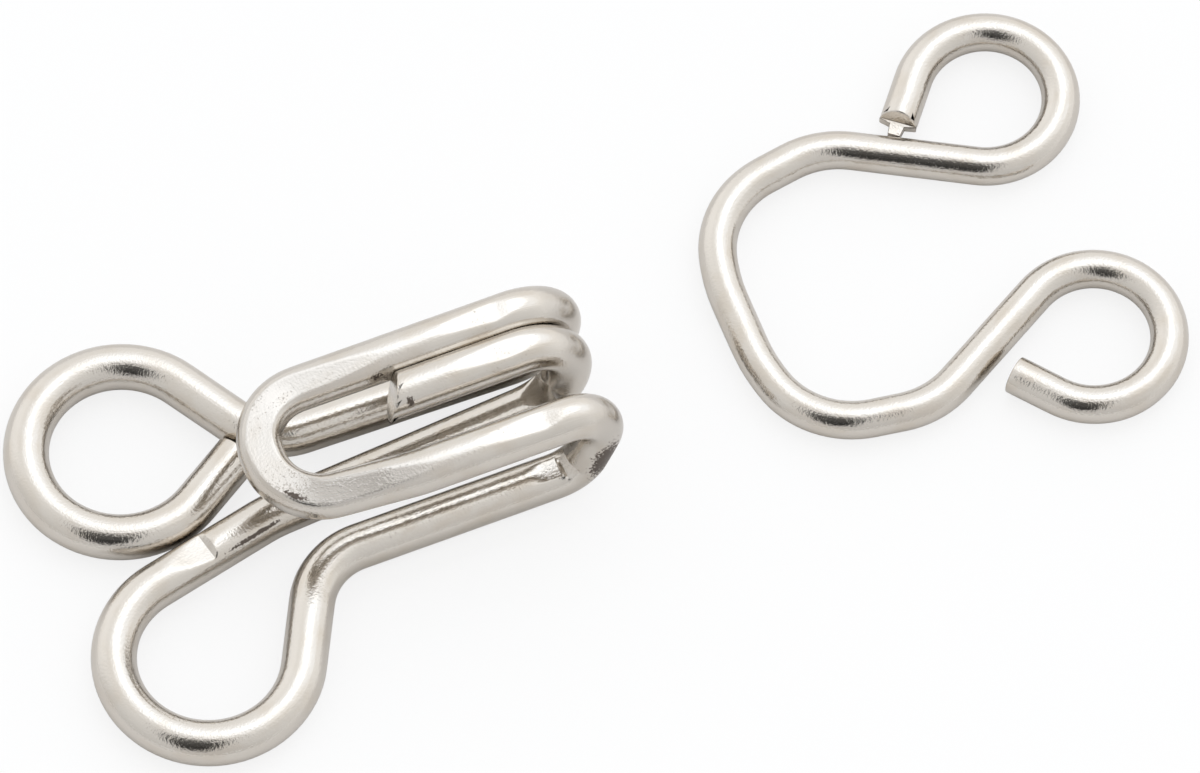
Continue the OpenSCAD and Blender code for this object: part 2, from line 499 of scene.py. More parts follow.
    def round_rims(self, width: float) -> None:
        """Rounds the rims of the cut ends, which alone have many corners.

        Args:
            width: The bevel's width.
        """
        ends = [len(face.vertices) > self.end_corners for face in self.piece.data.polygons]
        select_faces(self.piece, ends)
        with editing(self.piece):
            bpy.ops.mesh.bevel(
                offset=width * MM, segments=self.rim_segments, profile=self.rim_profile, affect="EDGES"
            )

    def wave(self, height: float, length: float) -> None:
        """Gives the wire the slight unevenness of drawn and bent wire.

        Args:
            height: The height of the waves.
            length: Their length.
        """
        texture = bpy.data.textures.new("unevenness", "CLOUDS")
        texture.noise_scale, texture.noise_depth = length * MM, 1
        uneven = self.piece.modifiers.new("unevenness", "DISPLACE")
        uneven.texture, uneven.texture_coords = texture, "LOCAL"
        uneven.strength, uneven.mid_level = 2 * height * MM, 0.5
        bpy.ops.object.modifier_apply(modifier=uneven.name)

    def press(self, mark: ToolMark) -> np.ndarray:
        """Flattens the wire where a tool pressed it.

        Args:
            mark: The flat to press.

        Returns:
            How satin the mark leaves each vertex, from 0 to 1.
        """
        facing = Vector(mark.facing).normalized()
        flat = Vector(mark.at) + facing * (self.radius - mark.depth)
        off = self.places[:, 2] - self.along(mark.at)
        reached = (off > -mark.reach[0]) & (off < mark.reach[1])
        above = (vertex_places(self.piece) - np.array(flat)) @ np.array(facing)
        select_vertices(self.piece, reached & (above > 0))
        with editing(self.piece):
            bpy.ops.transform.resize(
                value=(1, 1, 0),
                orient_type="GLOBAL",
                orient_matrix=facing.to_track_quat("Z", "Y").to_matrix(),
                orient_matrix_type="GLOBAL",
                constraint_axis=(False, False, True),
                center_override=flat * MM,
            )
        return np.where(reached, mark.satin * smooth(above / self.mark_fade + 1), 0)

    def press_run(self, run: Sequence[ToolMark]) -> np.ndarray:
        """Presses one flat that twists and gets shallower along the wire, which no operator does.

        Args:
            run: The flat at some places along the wire.

        Returns:
            How satin the flat leaves each vertex, from 0 to 1.
        """
        run = sorted(run, key=lambda mark: self.along(mark.at))
        stops = [self.along(mark.at) for mark in run]
        along = self.places[:, 2]
        facing = between(along, stops, [mark.facing for mark in run])
        facing /= np.linalg.norm(facing, axis=1)[:, None]
        depth, satin = between(along, stops, [(mark.depth, mark.satin) for mark in run]).T
        points = vertex_places(self.piece)
        above = ((points - self.middles()) * facing).sum(axis=1) - self.radius + depth
        reached = (along > stops[0]) & (along < stops[-1])
        points -= facing * np.where(reached & (above > 0), above, 0)[:, None]
        self.piece.data.vertices.foreach_set("co", (points * MM).astype(np.float32).ravel())
        self.piece.data.update()
        return np.where(reached, satin * smooth(above / self.run_fade + 1), 0)

    def shade_mark(self, shade_mark: PaintedShade) -> np.ndarray:
        """Finds where painted shade lies on the plate, standing for dark reflections and shadows.

        Args:
            shade_mark: The place, with its size.

        Returns:
            How much painted shade each vertex gets, from 0 to 1.
        """
        outward = np.array(Vector(shade_mark.facing).normalized()) * self.radius
        off = np.linalg.norm(vertex_places(self.piece) - self.middles() - outward, axis=1) / shade_mark.half_width
        along = (self.places[:, 2] - self.along(shade_mark.at)) / shade_mark.half_length
        return shade_mark.strength * np.clip(self.shade_reach - np.hypot(off, along), 0, 1)


class NodeTree:
    """Adds and joins shader nodes in one tree."""

    def __init__(self, tree: bpy.types.NodeTree) -> None:
        """Starts the tree empty."""
        self.tree = tree
        tree.nodes.clear()

    def add(self, kind: str, settings: dict | None = None, **inputs: object) -> bpy.types.Node:
        """Adds a node.

        Args:
            kind: The node's type.
            settings: Values of the node itself.
            **inputs: Values or sockets for its inputs, with _ for a space in a name.

        Returns:
            The node.
        """
        node = self.tree.nodes.new(kind)
        for name, value in (settings or {}).items():
            setattr(node, name, value)
        for name, value in inputs.items():
            self.feed(node.inputs[name.replace("_", " ")], value)
        return node

    def feed(self, socket: bpy.types.NodeSocket, value: object) -> None:
        """Sets a socket, or links it where the value is a socket.

        Args:
            socket: The socket to set or link.
            value: The value or socket.
        """
        if isinstance(value, bpy.types.NodeSocket):
            self.tree.links.new(value, socket)
        else:
            socket.default_value = value

    def math(
        self, operation: str, a: object, b: object = 0.0, c: object = 0.0, clamp: bool = False
    ) -> bpy.types.NodeSocket:
        """Works out one sum of two or three numbers.

        Args:
            operation: The Math node's operation.
            a: The first number or socket.
            b: The second number or socket.
            c: The third number or socket.
            clamp: True to keep the result from 0 to 1.

        Returns:
            The result's socket.
        """
        node = self.add("ShaderNodeMath", {"operation": operation, "use_clamp": clamp})
        for socket, value in zip(node.inputs, (a, b, c)):
            self.feed(socket, value)
        return node.outputs[0]

    def attribute(self, name: str) -> bpy.types.bpy_prop_collection:
        """The outputs of a node that reads one of the piece's attributes."""
        return self.add("ShaderNodeAttribute", {"attribute_name": name}).outputs

    def eased(self, value: bpy.types.NodeSocket, low: float, high: float) -> bpy.types.NodeSocket:
        """Eases a number to 0 at low and to 1 at high."""
        easing = {"interpolation_type": "SMOOTHSTEP"}
        return self.add("ShaderNodeMapRange", easing, Value=value, From_Min=low, From_Max=high).outputs[0]

    def blend(self, share: object, first: object, second: object) -> bpy.types.NodeSocket:
        """Blends two colours.

        Args:
            share: How much of the second shows, from 0 to 1.
            first: The colour or socket at 0.
            second: The colour or socket at 1.

        Returns:
            The blend's socket.
        """
        node = self.add("ShaderNodeMix", {"data_type": "RGBA"})
        for place, value in ((0, share), (6, first), (7, second)):
            self.feed(node.inputs[place], (*value, 1) if isinstance(value, tuple) else value)
        return node.outputs[2]


@dataclass(frozen=True)
class DrawnMarks:
    """The marks that a drawing die and a bending tool leave, the same on every wire.

    A level is how much noise makes a pit or a dark patch, and an edge how sharply it ends.
    The dark patches are painted shade on the hook, and specks at the eye's cut end.
    """

    pit_level: float = 0.79
    pit_edge: float = 9.0
    pit_depth: float = 0.35
    pit_power: float = 4.0
    line_loss: float = 0.8
    grain_height: float = 0.5
    grain_gain: float = 0.4
    grain_loss: float = 0.2
    shade_and_speck_grain: float = 1.6
    shade_and_speck_level: float = 1.2
    shade_and_speck_edge: float = 5.0

    def group(self) -> bpy.types.NodeTree:
        """Builds the shared group.

        Returns:
            A group that puts out a height, and masks of the lines, specks, clouds and dark patches,
            which are painted shade on the hook and specks at the eye's cut end.
        """
        group = bpy.data.node_groups.new("drawn_wire_marks", "ShaderNodeTree")
        for name in ("Line Depth", "Pits", "Satin", "Stain"):
            group.interface.new_socket(name, in_out="INPUT", socket_type="NodeSocketFloat")
        for name in ("Height", "Lines", "Pitted", "Cloud", "Stained"):
            group.interface.new_socket(name, in_out="OUTPUT", socket_type="NodeSocketFloat")
        nodes = NodeTree(group)
        asked = nodes.add("NodeGroupInput").outputs
        place = nodes.attribute("drawn")["Vector"]

        def noise(across: float, along: float, detail: float, rough: float) -> bpy.types.NodeSocket:
            """Makes noise on the straight wire.

            Args:
                across: Features per millimetre across the wire.
                along: Features per millimetre along it.
                detail: The noise's detail.
                rough: The noise's roughness.

            Returns:
                The noise's socket.
            """
            scaled = nodes.add("ShaderNodeMapping", Vector=place, Scale=(across, across, along))
            made = nodes.add(
                "ShaderNodeTexNoise", Vector=scaled.outputs[0], Scale=1.0, Detail=detail, Roughness=rough
            )
            return made.outputs["Fac"]

        lines = noise(across=24.0, along=1.0, detail=3.0, rough=0.6)
        grain = noise(across=16.0, along=19.0, detail=2.0, rough=0.6)
        cloud = noise(across=2.2, along=1.2, detail=2.0, rough=0.5)
        pits = noise(across=21.0, along=19.0, detail=2.0, rough=0.6)
        worn = nodes.math("POWER", asked["Satin"], self.pit_power)
        deep = nodes.math("MULTIPLY_ADD", worn, nodes.math("MULTIPLY", asked["Pits"], cloud), -self.pit_level)
        pitted = nodes.math("MULTIPLY", nodes.math("ADD", pits, deep), self.pit_edge, clamp=True)
        rolled = nodes.math("MULTIPLY", lines, asked["Line Depth"])
        bare = nodes.math("SUBTRACT", 1.0, nodes.math("MULTIPLY", asked["Satin"], self.line_loss))
        rubbed = nodes.math("MULTIPLY_ADD", asked["Satin"], self.grain_gain, self.grain_height)
        pressed = nodes.math("MULTIPLY_ADD", asked["Satin"], -self.grain_loss, self.grain_height)
        matt = nodes.math("MULTIPLY", grain, nodes.math("MINIMUM", rubbed, pressed))
        height = nodes.math("MULTIPLY_ADD", rolled, bare, matt)
        height = nodes.math("MULTIPLY_ADD", pitted, -self.pit_depth, height)
        # Ragged dark patches: painted shade on the hook, specks at the eye's cut end.
        spread = nodes.math("MULTIPLY_ADD", grain, self.shade_and_speck_grain, -self.shade_and_speck_level)
        ragged = nodes.math("ADD", asked["Stain"], spread)
        darkened = nodes.math("MULTIPLY", ragged, self.shade_and_speck_edge, clamp=True)
        nodes.add("NodeGroupOutput", Height=height, Lines=lines, Pitted=pitted, Cloud=cloud, Stained=darkened)
        return group


@dataclass(frozen=True)
class NickelPlate:
    """Bright nickel plate over drawn brass wire."""

    name: str
    color: Triple = (0.66, 0.622, 0.57)
    warm_color: Triple = (0.625, 0.575, 0.51)
    pit_color: Triple = (0.46, 0.43, 0.39)
    shade_and_speck_color: Triple = (0.13, 0.108, 0.093)
    satin_and_shade_color: Triple = (0.50, 0.475, 0.445)
    cloud_span: Pair = (0.42, 0.72)
    satin_share: float = 0.5
    pit_share: float = 0.8
    roughness: float = 0.07
    roughness_spread: float = 0.06
    satin_roughness: float = 0.14
    shade_and_speck_roughness: float = 0.3
    line_depth: float = 0.22
    pits: float = 0.52
    relief: float = 0.0125

    def material(self, marks: bpy.types.NodeTree) -> bpy.types.Material:
        """Makes the plate's material.

        Args:
            marks: The shared group of drawing lines, pits, and dark patches of painted shade and specks.

        Returns:
            The material.
        """
        made = bpy.data.materials.new(self.name)
        made.use_nodes = True
        nodes = NodeTree(made.node_tree)
        satin, shade_and_specks = nodes.attribute("satin")["Fac"], nodes.attribute("shade_and_specks")["Fac"]
        mark = nodes.add(
            "ShaderNodeGroup",
            {"node_tree": marks},
            Line_Depth=self.line_depth,
            Pits=self.pits,
            Satin=satin,
            Stain=shade_and_specks,
        ).outputs
        color = nodes.blend(nodes.eased(mark["Cloud"], *self.cloud_span), self.color, self.warm_color)
        # Satin places get a duller, greyer tone; on the bends this is partly painted shade.
        satin_and_shade = nodes.math("MULTIPLY", satin, self.satin_share, clamp=True)
        color = nodes.blend(satin_and_shade, color, self.satin_and_shade_color)
        color = nodes.blend(nodes.math("MULTIPLY", mark["Pitted"], self.pit_share), color, self.pit_color)
        # Painted shade on the hook and dark specks at the eye's cut end, in a dark brown.
        color = nodes.blend(mark["Stained"], color, self.shade_and_speck_color)
        rough = nodes.math("MULTIPLY_ADD", mark["Lines"], self.roughness_spread, self.roughness)
        rough = nodes.math("MULTIPLY_ADD", satin, self.satin_roughness, rough)
        rough = nodes.math("MULTIPLY_ADD", mark["Stained"], self.shade_and_speck_roughness, rough, clamp=True)
        bump = nodes.add("ShaderNodeBump", Distance=self.relief * MM, Height=mark["Height"])
        shader = nodes.add(
            "ShaderNodeBsdfPrincipled",
            Base_Color=color,
            Metallic=1.0,
            Roughness=rough,
            Normal=bump.outputs[0],
        )
        nodes.add("ShaderNodeOutputMaterial", Surface=shader.outputs[0])
        return made


@dataclass
class BentPiece(ABC):
    """One piece of the clasp: a bent wire with a sewing loop on either side."""

    wire_d: float
    loop_bore: float
    bevel: float
    wave_height: float
    wave_length: float

    @property
    def loop_r(self) -> float:
        """Radius of a loop's centreline."""
        return (self.loop_bore + self.wire_d) / 2

    @property
    @abstractmethod
    def loop_y(self) -> float:
        """Distance of a loop's middle from the piece's middle line."""

    @property
    def half_width(self) -> float:
        """Half of the width over both loops."""
        return self.loop_y + self.loop_r + self.wire_d / 2

    @abstractmethod
    def bends(self) -> list[Bend]:
        """Lays out the wire from one cut end to the other, in the piece's own place."""

    def drawn(self, name: str, offset: Vector) -> Wire:
        """Draws the wire where the piece lies.

        Args:
            name: The piece's name.
            offset: The place of the piece's own origin in the pair.

        Returns:
            The drawn wire, slightly uneven.
        """
        wire = Wire(name, [Bend(bend.corner + offset, bend.radius) for bend in self.bends()], self.wire_d)
        wire.draw()
        wire.wave(self.wave_height, self.wave_length)
        return wire


@dataclass
class Hook(BentPiece):
    """The hook: loops for sewing at one end, and a bill bent back over its legs."""

    wire_d: float = 1.0
    strand_gap: float = 0.06
    bend_gap: float = 0.0001
    loop_bore: float = 3.12
    far_loop_turn: float = 270.0
    neck_reach: float = 3.0
    neck_bend_r: float = 1.6
    inner_bend_r: float = 3.2
    bend_reach: float = 9.62
    far_leg_splay: float = 0.16
    near_leg_splay: float = 0.08
    middle_splay: float = 0.16
    inner_slope: float = 12.5
    throat_h: float = 1.4
    bill_inner_w: float = 1.83
    bill_shift: float = 0.12
    bill_len: float = 7.2
    middle_len: float = 4.45
    end_cut: float = 0.37
    end_facing: Triple = (-1.0, 0.4, 0.25)
    near_lean: float = 0.95
    near_bend_r: float = 0.85
    near_bend_out: float = 0.4
    nose_lean: float = 0.26
    lean_len: float = 3.0
    nose_press: float = 0.1
    far_bend_step: float = 0.15
    seam_gap: float = -0.07
    seam_half: float = 0.004
    ridge_start: Pair = (0.86, -0.296)
    ridge_end: Pair = (0.97, -0.271)
    polish_start: float = 6.5
    crown_end: float = 0.6
    polish_fade: float = 0.9
    polish_most: float = 0.8
    polish_depth: float = 1.5
    bend_dull_start: float = 9.0
    bend_dull_fade: float = 0.6
    bend_dull_and_shade: float = 0.7
    front_dull: float = 0.2
    bevel: float = 0.05
    wave_height: float = 0.004
    wave_length: float = 1.4

    @property
    def loop_y(self) -> float:
        """Distance of a loop's middle from the hook's middle line, past the inner strands."""
        return (self.loop_r + (self.wire_d + self.strand_gap) / 2) / math.cos(math.radians(self.inner_slope))

    @property
    def low_z(self) -> float:
        """Height of the wire's middle where it lies on the surface."""
        return self.wire_d / 2

    @property
    def high_z(self) -> float:
        """Height of the wire's middle in the bill."""
        return self.wire_d * 1.5 + self.throat_h

    @property
    def nose_x(self) -> float:
        """Where the wire's middle turns round the nose."""
        return self.bend_reach - self.bill_len

    @property
    def bill_half(self) -> float:
        """Half of the distance between the bill's outer strands."""
        return (self.bill_inner_w + self.wire_d) / 2

    @property
    def far_y(self) -> float:
        """Where the bill's far strand runs."""
        return self.bill_shift + self.bill_half

    @property
    def near_y(self) -> float:
        """Where the bill's near strand runs before it leans in."""
        return self.bill_shift - self.bill_half

    @property
    def middle_y(self) -> float:
        """Where the bill's middle strand runs, close beside the far one."""
        return self.far_y - self.wire_d - self.seam_gap

    def bends(self) -> list[Bend]:
        """Lays out the wire from the middle strand's cut end to the far loop's.

        Returns:
            The wire's bends in order.
        """
        low, high, far_y, near_y, middle_y = self.low_z, self.high_z, self.far_y, self.near_y, self.middle_y
        rise_r = (high - low) / 2 - self.bend_gap
        far_loop, near_loop = Vector((0, self.loop_y, low)), Vector((0, -self.loop_y, low))
        far_neck = Vector((self.neck_reach, far_y + self.far_leg_splay, low))
        near_neck = Vector((self.neck_reach, near_y - self.near_leg_splay, low))
        far_touch = touch_angle(far_loop, self.loop_r, far_neck, Side.FAR)
        near_touch = touch_angle(near_loop, self.loop_r, near_neck, Side.NEAR) + 360
        leave = 90 + self.inner_slope
        inner_start = near_loop + self.loop_r * at_angle(leave)
        inner_run = -inner_start.y / math.sin(math.radians(self.inner_slope))
        inner_corner = inner_start + inner_run * at_angle(self.inner_slope)
        far_leave = far_touch + self.far_loop_turn
        tail = tail_length(self.loop_r, self.wire_d / 2, far_leave, far_touch, self.strand_gap)
        tail_end = far_loop + self.loop_r * at_angle(far_leave) + tail * at_angle(far_leave + 90)
        nose_r = self.bill_half - self.nose_lean / 2 - self.bend_gap
        far_x, near_x = self.bend_reach + self.far_bend_step, self.bend_reach + self.near_bend_out
        return [
            Bend(Vector((self.bend_reach - self.middle_len, middle_y, high))),
            Bend(Vector((self.bend_reach, middle_y, high)), rise_r),
            Bend(Vector((self.bend_reach, middle_y - self.middle_splay, low)), rise_r),
            Bend(inner_corner, self.inner_bend_r),
            *loop_bends(near_loop, self.loop_r, leave, near_touch),
            Bend(near_neck, self.neck_bend_r),
            Bend(Vector((near_x - self.near_lean, near_neck.y, low)), self.near_bend_r),
            Bend(Vector((near_x, near_y, high)), self.near_bend_r),
            Bend(Vector((self.nose_x + self.lean_len, near_y, high)), self.lean_len),
            Bend(Vector((self.nose_x, near_y + self.nose_lean, high)), nose_r),
            Bend(Vector((self.nose_x, far_y, high)), nose_r),
            Bend(Vector((far_x, far_y, high)), rise_r),
            Bend(Vector((far_x, far_y, low)), rise_r),
            Bend(far_neck, self.neck_bend_r),
            *loop_bends(far_loop, self.loop_r, far_touch, far_leave),
            Bend(tail_end),
        ]

    def runs(self) -> tuple[list[ToolMark], ...]:
        """Lists the flats that twist or fade, in the hook's own place.

        Returns:
            One for each strand's crown, one for each half of the nose, and the pressed place
            on the middle strand's base.
        """
        low, high, far_y, near_y = self.low_z, self.high_z, self.far_y, self.near_y
        tip_x, press, corner = self.nose_x, self.nose_press, self.bill_half * (1 - math.sqrt(0.5))
        tip = ToolMark((tip_x, far_y - self.bill_half, high), (-0.045, 0.015, 1), press, satin=0.55)
        crowns = (
            [
                ToolMark((6.6, y, high), (0, -0.08, 1), -0.02),
                ToolMark((7.2, y, high), (0, -0.08, 1), 0.02),
                ToolMark((8.3, y, high), (0.05, -0.08, 1), 0.06),
                ToolMark((self.bend_reach - self.crown_end, y, high - 0.15), (0.35, -0.08, 1), -0.02),
            ]
            for y in (far_y, self.middle_y, near_y)
        )
        return *crowns, [
            tip,
            ToolMark((tip_x + corner, far_y - corner, high), (-0.03, -0.03, 1), press, satin=0.7),
            ToolMark((3.5, far_y, high), (0, -0.2, 1), press * 0.8, satin=0.7),
            ToolMark((4.6, far_y, high), (0, -0.22, 1), press * 0.5, satin=0.6),
            ToolMark((6.2, far_y, high), (0, -0.22, 1), -0.02),
        ], [
            ToolMark((6.4, near_y, high), (0, -0.32, 1), -0.02, satin=0.3),
            ToolMark((4.3, near_y + 0.05, high), (0, -0.32, 1), press * 0.6, satin=1.0),
            ToolMark((3.2, near_y + 0.16, high), (0, -0.25, 1), press * 0.9, satin=1.0),
            ToolMark((tip_x + corner, near_y + 0.2 + corner, high), (-0.05, -0.07, 1), press, satin=0.8),
            tip,
        ], [
            ToolMark((-0.15, -0.53, low), (0.03, 0.06, 1), -0.02),
            ToolMark((0.35, -0.41, low), (0.03, 0.06, 1), 0.09, satin=0.1),
            ToolMark((*self.ridge_start, low), (0.03, 0.06, 1), 0.15, satin=0.1),
            ToolMark((*self.ridge_end, low), (0, 0.06, 1), -0.005),
        ]

    def marks(self) -> list[ToolMark]:
        """Lists the single flats that the bending tools left, in the hook's own place.

        Returns:
            The seam's two sides, and the flats at the near and middle bends.
        """
        low, high, leg_y = self.low_z, self.high_z, self.near_y - self.near_leg_splay
        seam = self.seam_half - self.seam_gap / 2
        return [
            ToolMark((5.6, self.far_y, high), (0, -1, 0), seam, (0.2, 5.0), satin=0.1),
            ToolMark((5.6, self.middle_y, high), (0, 1, 0), seam, (0.6, 5.0), satin=0.1),
            ToolMark((8.45, leg_y, low), (0, -0.05, 1), 0.06, (0.4, 0.3), satin=0.4),
            ToolMark((9.05, leg_y, low + 0.22), (-0.6, -0.3, 0.74), 0.08, (0.25, 0.3), satin=0.3),
            ToolMark((9.0, 0.35, low), (0.08, 0, 1), 0.06, (0.6, 0.4), satin=0.5),
        ]

    def shade_marks(self) -> list[PaintedShade]:
        """Lists the painted shade: small dark places, in the hook's own place.

        Returns:
            One dark reflection on the nose, one on the middle strand's base where it reflects the
            bill above, two shadows beside the cut end and two dark reflections on the bends, all painted.
        """
        low, high = self.low_z, self.high_z
        return [
            PaintedShade((2.845, -0.835, high), (-0.36, -0.4, 0.84), 0.48, 0.085),
            PaintedShade((1.9, -0.064, low), (0.15, -0.66, 0.74), 0.85, 0.055),
            PaintedShade((5.83, self.middle_y, high), (0, -0.66, 0.5), 0.08, 0.16),
            PaintedShade((5.38, self.far_y, high), (0, -0.92, 0.4), 0.15, 0.11, 0.85),
            PaintedShade((9.46, self.near_y, 1.45), (0.2, -1.0, 0.1), 0.75, 0.33, 0.84),
            PaintedShade((9.5, 0.33, 1.2), (0.9, -0.4, 0), 0.4, 0.13),
        ]

    def polish(self, places: np.ndarray) -> np.ndarray:
        """How far the bending tool polished the bill's back half, and dulled its bends; on the bends
        the dulling also greys the colour, which is partly painted shade.

        Args:
            places: Each vertex in the hook's own place.

        Returns:
            The polish of each vertex, below 0 where it is dull.
        """
        back = smooth((places[:, 0] - self.polish_start) / self.polish_fade)
        bend = smooth((places[:, 0] - self.bend_dull_start) / self.bend_dull_fade)
        bill = smooth(places[:, 2] - self.high_z + self.polish_depth)
        dull = self.bend_dull_and_shade * bend + self.front_dull * (1 - back)
        return bill * (self.polish_most * back * (1 - bend) - dull)

    def build(self, offset: Vector, plate: bpy.types.Material) -> bpy.types.Object:
        """Draws, presses and dresses the hook.

        Args:
            offset: The place of the hook's own origin in the pair.
            plate: The wire's material.

        Returns:
            The finished hook.
        """
        wire = self.drawn("hook_wire", offset)
        slant = wire.bends[0].corner + Vector((self.end_cut, 0, 0))
        wire.cut(slant, Vector(self.end_facing), take_off=True)
        for place in (self.ridge_start, self.ridge_end):
            wire.score(Vector((*place, self.low_z)) + offset)
        wire.round_rims(self.bevel)
        wire.measure()
        flats = [wire.press(mark.moved(offset)) for mark in self.marks()]
        flats += [wire.press_run([mark.moved(offset) for mark in run]) for run in self.runs()]
        # Painted shade: dark reflections and shadows put into the plate's colour.
        shade_marks = [wire.shade_mark(shade_mark.moved(offset)) for shade_mark in self.shade_marks()]
        polish = self.polish(vertex_places(wire.piece) - np.array(offset))
        dress(wire, plate, "hook", np.max(flats, axis=0) - polish, np.max(shade_marks, axis=0))
        return wire.piece


@dataclass
class Eye(BentPiece):
    """The eye: an arch that the hook catches, between two sewing loops."""

    wire_d: float = 0.84
    loop_bore: float = 2.46
    far_tail_gap: float = 0.2
    near_tail_gap: float = 0.38
    arch_inner_w: float = 5.78
    arch_depth: float = 3.2
    reach: float = 7.04
    loop_pitch: float = 6.25
    loop_turn: float = 51.0
    chisel_slope: float = 0.42
    chisel_back: float = 0.02
    ridge_back: float = 0.07
    bevel: float = 0.03
    burr_r: float = 0.12
    burr_facing: float = 0.98
    burr_foot: float = 0.05
    burr_hold: float = 0.04
    burr_narrow: Pair = (0.42, 0.8)
    burr_thin: float = 0.9
    burr_darkening: float = 0.2
    darkening_reach: float = 0.05
    wave_height: float = 0.005
    wave_length: float = 1.6
    arch: tuple[Triple, ...] = ((0, 0.313, 1.16), (0.14, 0.894, 0.63), (1, 1.025, 0.63))

    @property
    def loop_y(self) -> float:
        """Distance of a loop's middle from the eye's middle line."""
        return self.loop_pitch / 2

    def half_bends(self, tail_gap: float) -> list[Bend]:
        """Lays out the far half of the wire, from the arch to its cut end.

        Args:
            tail_gap: The clearance between the cut end and its arm.

        Returns:
            The bends in order.
        """
        half, level = (self.arch_inner_w + self.wire_d) / 2, self.wire_d / 2
        bends = [
            Bend(Vector((along * self.arch_depth, across * half, level)), radius * half)
            for along, across, radius in self.arch
        ]
        loop = Vector((self.reach, self.loop_y, level))
        touch = touch_angle(loop, self.loop_r, bends[-1].corner, Side.FAR)
        leave = 360 + 90 + self.loop_turn
        tail = tail_length(self.loop_r, level, leave, touch, tail_gap)
        end = loop + self.loop_r * at_angle(leave) + tail * at_angle(leave + 90)
        return [*bends, *loop_bends(loop, self.loop_r, touch, leave), Bend(end)]

    def bends(self) -> list[Bend]:
        """Lays out the wire from the near loop's cut end to the far loop's.

        Returns:
            The wire's bends in order.
        """
        mirror = Vector((1, -1, 1))
        near = [Bend(bend.corner * mirror, bend.radius) for bend in self.half_bends(self.near_tail_gap)]
        return near[::-1] + self.half_bends(self.far_tail_gap)

    def build(self, offset: Vector, plate: bpy.types.Material) -> bpy.types.Object:
        """Draws and dresses the eye.

        Args:
            offset: The place of the arch's top in the pair.
            plate: The wire's material.

        Returns:
            The finished eye.
        """
        wire = self.drawn("eye_wire", offset)
        end = wire.bends[-1].corner
        ahead = (end - wire.bends[-2].corner).normalized()
        for slope in (self.chisel_slope, -self.chisel_slope):
            wire.cut(end - ahead * self.chisel_back, ahead + UP * slope, take_off=True)
        ridge = end - ahead * self.ridge_back
        wire.cut(ridge, ahead, take_off=True)
        wire.round_rims(self.bevel)
        self.pull_burr(wire.piece, ridge, ahead)
        wire.measure()
        # Darkens the burr at the far cut end a little, in ragged specks.
        darkened = wire.places[:, 2] > wire.rings[-1] - self.darkening_reach
        dress(wire, plate, "eye", np.zeros(len(darkened)), self.burr_darkening * darkened)
        return wire.piece

    def pull_burr(self, eye: bpy.types.Object, ridge: Vector, ahead: Vector) -> None:
        """Pulls the burr that the cutter left in the middle of the far end.

        Args:
            eye: The drawn eye.
            ridge: The middle of the far end.
            ahead: The way that the far end faces.
        """
        chosen = [
            (face.center / MM - ridge).length < self.burr_r and face.normal.dot(ahead) > self.burr_facing
            for face in eye.data.polygons
        ]
        select_faces(eye, chosen)
        with editing(eye):
            for length, share in zip((self.burr_foot, self.far_tail_gap + self.burr_hold), self.burr_narrow):
                bpy.ops.mesh.extrude_region_move(TRANSFORM_OT_translate={"value": ahead * length * MM})
                ridge = ridge + ahead * length
                bpy.ops.transform.resize(value=(share, share, self.burr_thin), center_override=ridge * MM)


def dress(wire: Wire, plate: bpy.types.Material, node: str, satin: np.ndarray, shade_and_specks: np.ndarray) -> None:
    """Shades a finished wire, gives it its plate and puts it in its node's place.

    Args:
        wire: The finished wire.
        plate: Its material.
        node: The node that it stands for.
        satin: How satin each vertex is, below 0 where it is polished.
        shade_and_specks: How dark each vertex is painted, from 0 to 1: painted shade on the hook, specks
            at the eye's cut end.
    """
    piece = wire.piece
    for name, values in (("drawn", wire.places), ("satin", satin), ("shade_and_specks", shade_and_specks)):
        write_attribute(piece, name, values)
    deselect_all()
    piece.select_set(True)
    bpy.context.view_layer.objects.active = piece
    bpy.ops.object.shade_smooth_by_angle(angle=math.radians(SHARP_ANGLE))
    piece.data.materials.append(plate)
    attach(piece, "root")
    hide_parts(node)


def direction(azimuth: float, elevation: float) -> Vector:
    """The way from the clasp to a place, in degrees round from the front and above the floor."""
    a, e = math.radians(azimuth), math.radians(elevation)
    return Vector((math.sin(a) * math.cos(e), -math.cos(a) * math.cos(e), math.sin(e)))


@dataclass(frozen=True)
class SoftLight:
    """One soft patch of light, or of shade, in the tent round the clasp.

    Angles are in degrees: round from the camera towards its right, and above the floor.
    The edge is the share of the patch over which it fades.
    """

    azimuth: float
    elevation: float
    half_width: float
    half_height: float
    edge: float
    strength: float


